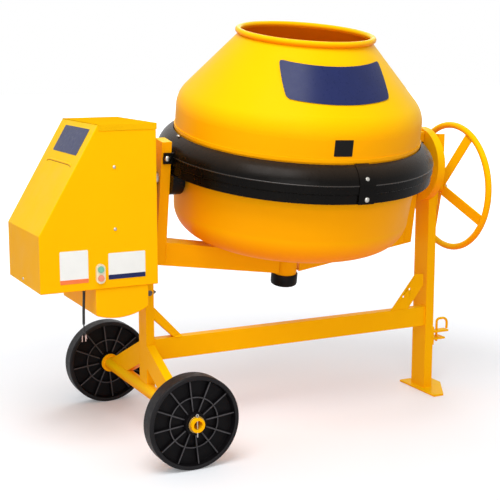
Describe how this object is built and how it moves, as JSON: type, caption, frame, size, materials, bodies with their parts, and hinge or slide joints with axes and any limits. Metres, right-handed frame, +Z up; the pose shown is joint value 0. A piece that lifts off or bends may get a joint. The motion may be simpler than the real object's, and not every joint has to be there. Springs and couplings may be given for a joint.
{
  "type": "concrete mixer",
  "caption": "Towable electric concrete mixer: tilting drum with guarded crown gear in a yoke, handwheel tilt, belt drive in a side housing, leg with foot and road wheels.",
  "frame": {"origin": "middle of the ground rectangle that the machine covers, on the floor that the wheels and the foot stand on", "axes": "+X from the motor housing to the handwheel, along the tilt axis; +Y to the back, away from the side the drum leans to; +Z up"},
  "size_m": [1.818, 1.053, 1.5162],
  "materials": {
    "body_yellow": "gloss paint",
    "guard_black": "moulded",
    "wheel_rubber": "solid",
    "cast_iron": "as cast, machined faces",
    "bright_steel": "turned",
    "motor_alloy": "cast, finned",
    "belt_rubber": "moulded",
    "switch_grey": "moulded",
    "button_green": "moulded",
    "button_red": "moulded",
    "cord_black": "drawn",
    "core_copper": "bared ends"
  },
  "bodies": {
    "chassis": {"axle_brace_front": "body_yellow", "axle_brace_rear": "body_yellow", "axle_collars": "bright_steel", "axle_tube": "body_yellow", "beam_brace_left": "body_yellow", "beam_brace_right": "body_yellow", "bearing_bracket": "body_yellow", "cord_cores": "core_copper", "cord_gland": "cord_black", "drive_belt": "belt_rubber", "foot_plate": "body_yellow", "handwheel_bush": "cast_iron", "hitch_bracket": "body_yellow", "housing_brackets": "body_yellow", "housing_cap": "body_yellow", "left_bearing": "cast_iron", "left_post": "body_yellow", "lower_pan": "body_yellow", "main_beam": "body_yellow", "motor": "motor_alloy", "motor_housing": "body_yellow", "power_cord": "cord_black", "right_bearing": "cast_iron", "right_leg": "body_yellow", "shaft_bearing": "cast_iron", "switch_body": "switch_grey", "tilt_gear_cover": "body_yellow"},
    "yoke": {"yoke_left_arm": "body_yellow", "yoke_right_arm": "body_yellow", "hub_housing": "body_yellow", "hub_cap": "guard_black", "left_trunnion": "bright_steel", "right_trunnion": "bright_steel", "tilt_gear": "cast_iron", "ring_guard_left": "guard_black", "ring_guard_right": "guard_black", "guard_strap_front": "guard_black", "guard_strap_rear": "guard_black", "pinion_cover": "guard_black"},
    "drum": {"drum_cone": "body_yellow", "mouth_bead": "body_yellow", "drum_bowl": "body_yellow", "ring_gear": "cast_iron", "mixing_blades": "body_yellow", "drum_spindle": "bright_steel"},
    "drive": {"drive_shaft": "bright_steel", "bevel_pinion": "cast_iron", "large_pulley": "cast_iron"},
    "motor_rotor": {"motor_shaft": "bright_steel", "motor_pulley": "cast_iron"},
    "handwheel": {"handwheel_rim": "body_yellow", "handwheel_spokes": "body_yellow", "handwheel_hub": "body_yellow", "handwheel_shaft": "bright_steel", "tilt_pinion": "cast_iron"},
    "front_wheel": {"wheel_front": "wheel_rubber"},
    "rear_wheel": {"wheel_rear": "wheel_rubber"},
    "start_key": {"start_button": "button_green"},
    "stop_key": {"stop_button": "button_red"},
    "drop_pin": {"hitch_pin": "bright_steel"}
  },
  "joints": [
    {"name": "yoke_tilt", "type": "hinge", "parent": "chassis", "child": "yoke", "pos_m": [0.161, 0.0095, 0.948], "axis": [1, 0, 0], "range_deg": [-129.5, 110.5]},
    {"name": "handwheel_turn", "type": "hinge", "parent": "chassis", "child": "handwheel", "pos_m": [0.851, 0.0095, 0.848], "axis": [1, 0, 0], "range_deg": [-335, 392]},
    {"name": "drum_spin", "type": "hinge", "parent": "yoke", "child": "drum", "pos_m": [0.161, 0.0095, 0.948], "axis": [0, -0.165, 0.9863], "continuous": true},
    {"name": "drive_spin", "type": "hinge", "parent": "yoke", "child": "drive", "pos_m": [-0.367, 0.0095, 0.948], "axis": [1, 0, 0], "continuous": true},
    {"name": "motor_spin", "type": "hinge", "parent": "chassis", "child": "motor_rotor", "pos_m": [-0.609, -0.0005, 0.705], "axis": [1, 0, 0], "continuous": true},
    {"name": "front_wheel_spin", "type": "hinge", "parent": "chassis", "child": "front_wheel", "pos_m": [-0.462, -0.4195, 0.165], "axis": [0, 1, 0], "continuous": true},
    {"name": "rear_wheel_spin", "type": "hinge", "parent": "chassis", "child": "rear_wheel", "pos_m": [-0.462, 0.4385, 0.165], "axis": [0, 1, 0], "continuous": true},
    {"name": "start_press", "type": "slide", "parent": "chassis", "child": "start_key", "axis": [0, 1, 0], "range_m": [0, 0.003], "stiffness_N_per_m": 300, "springref_m": -0.001},
    {"name": "stop_press", "type": "slide", "parent": "chassis", "child": "stop_key", "axis": [0, 1, 0], "range_m": [0, 0.003], "stiffness_N_per_m": 300, "springref_m": -0.001},
    {"name": "drop_pin_lift", "type": "slide", "parent": "chassis", "child": "drop_pin", "axis": [0, 0, 1], "range_m": [0, 0.09]}
  ],
  "couplings": [
    {"joint": "handwheel_turn", "follows": "yoke_tilt", "ratio": -3},
    {"joint": "drive_spin", "follows": "drum_spin", "ratio": 10},
    {"joint": "motor_spin", "follows": "drum_spin", "ratio": 50}
  ]
}
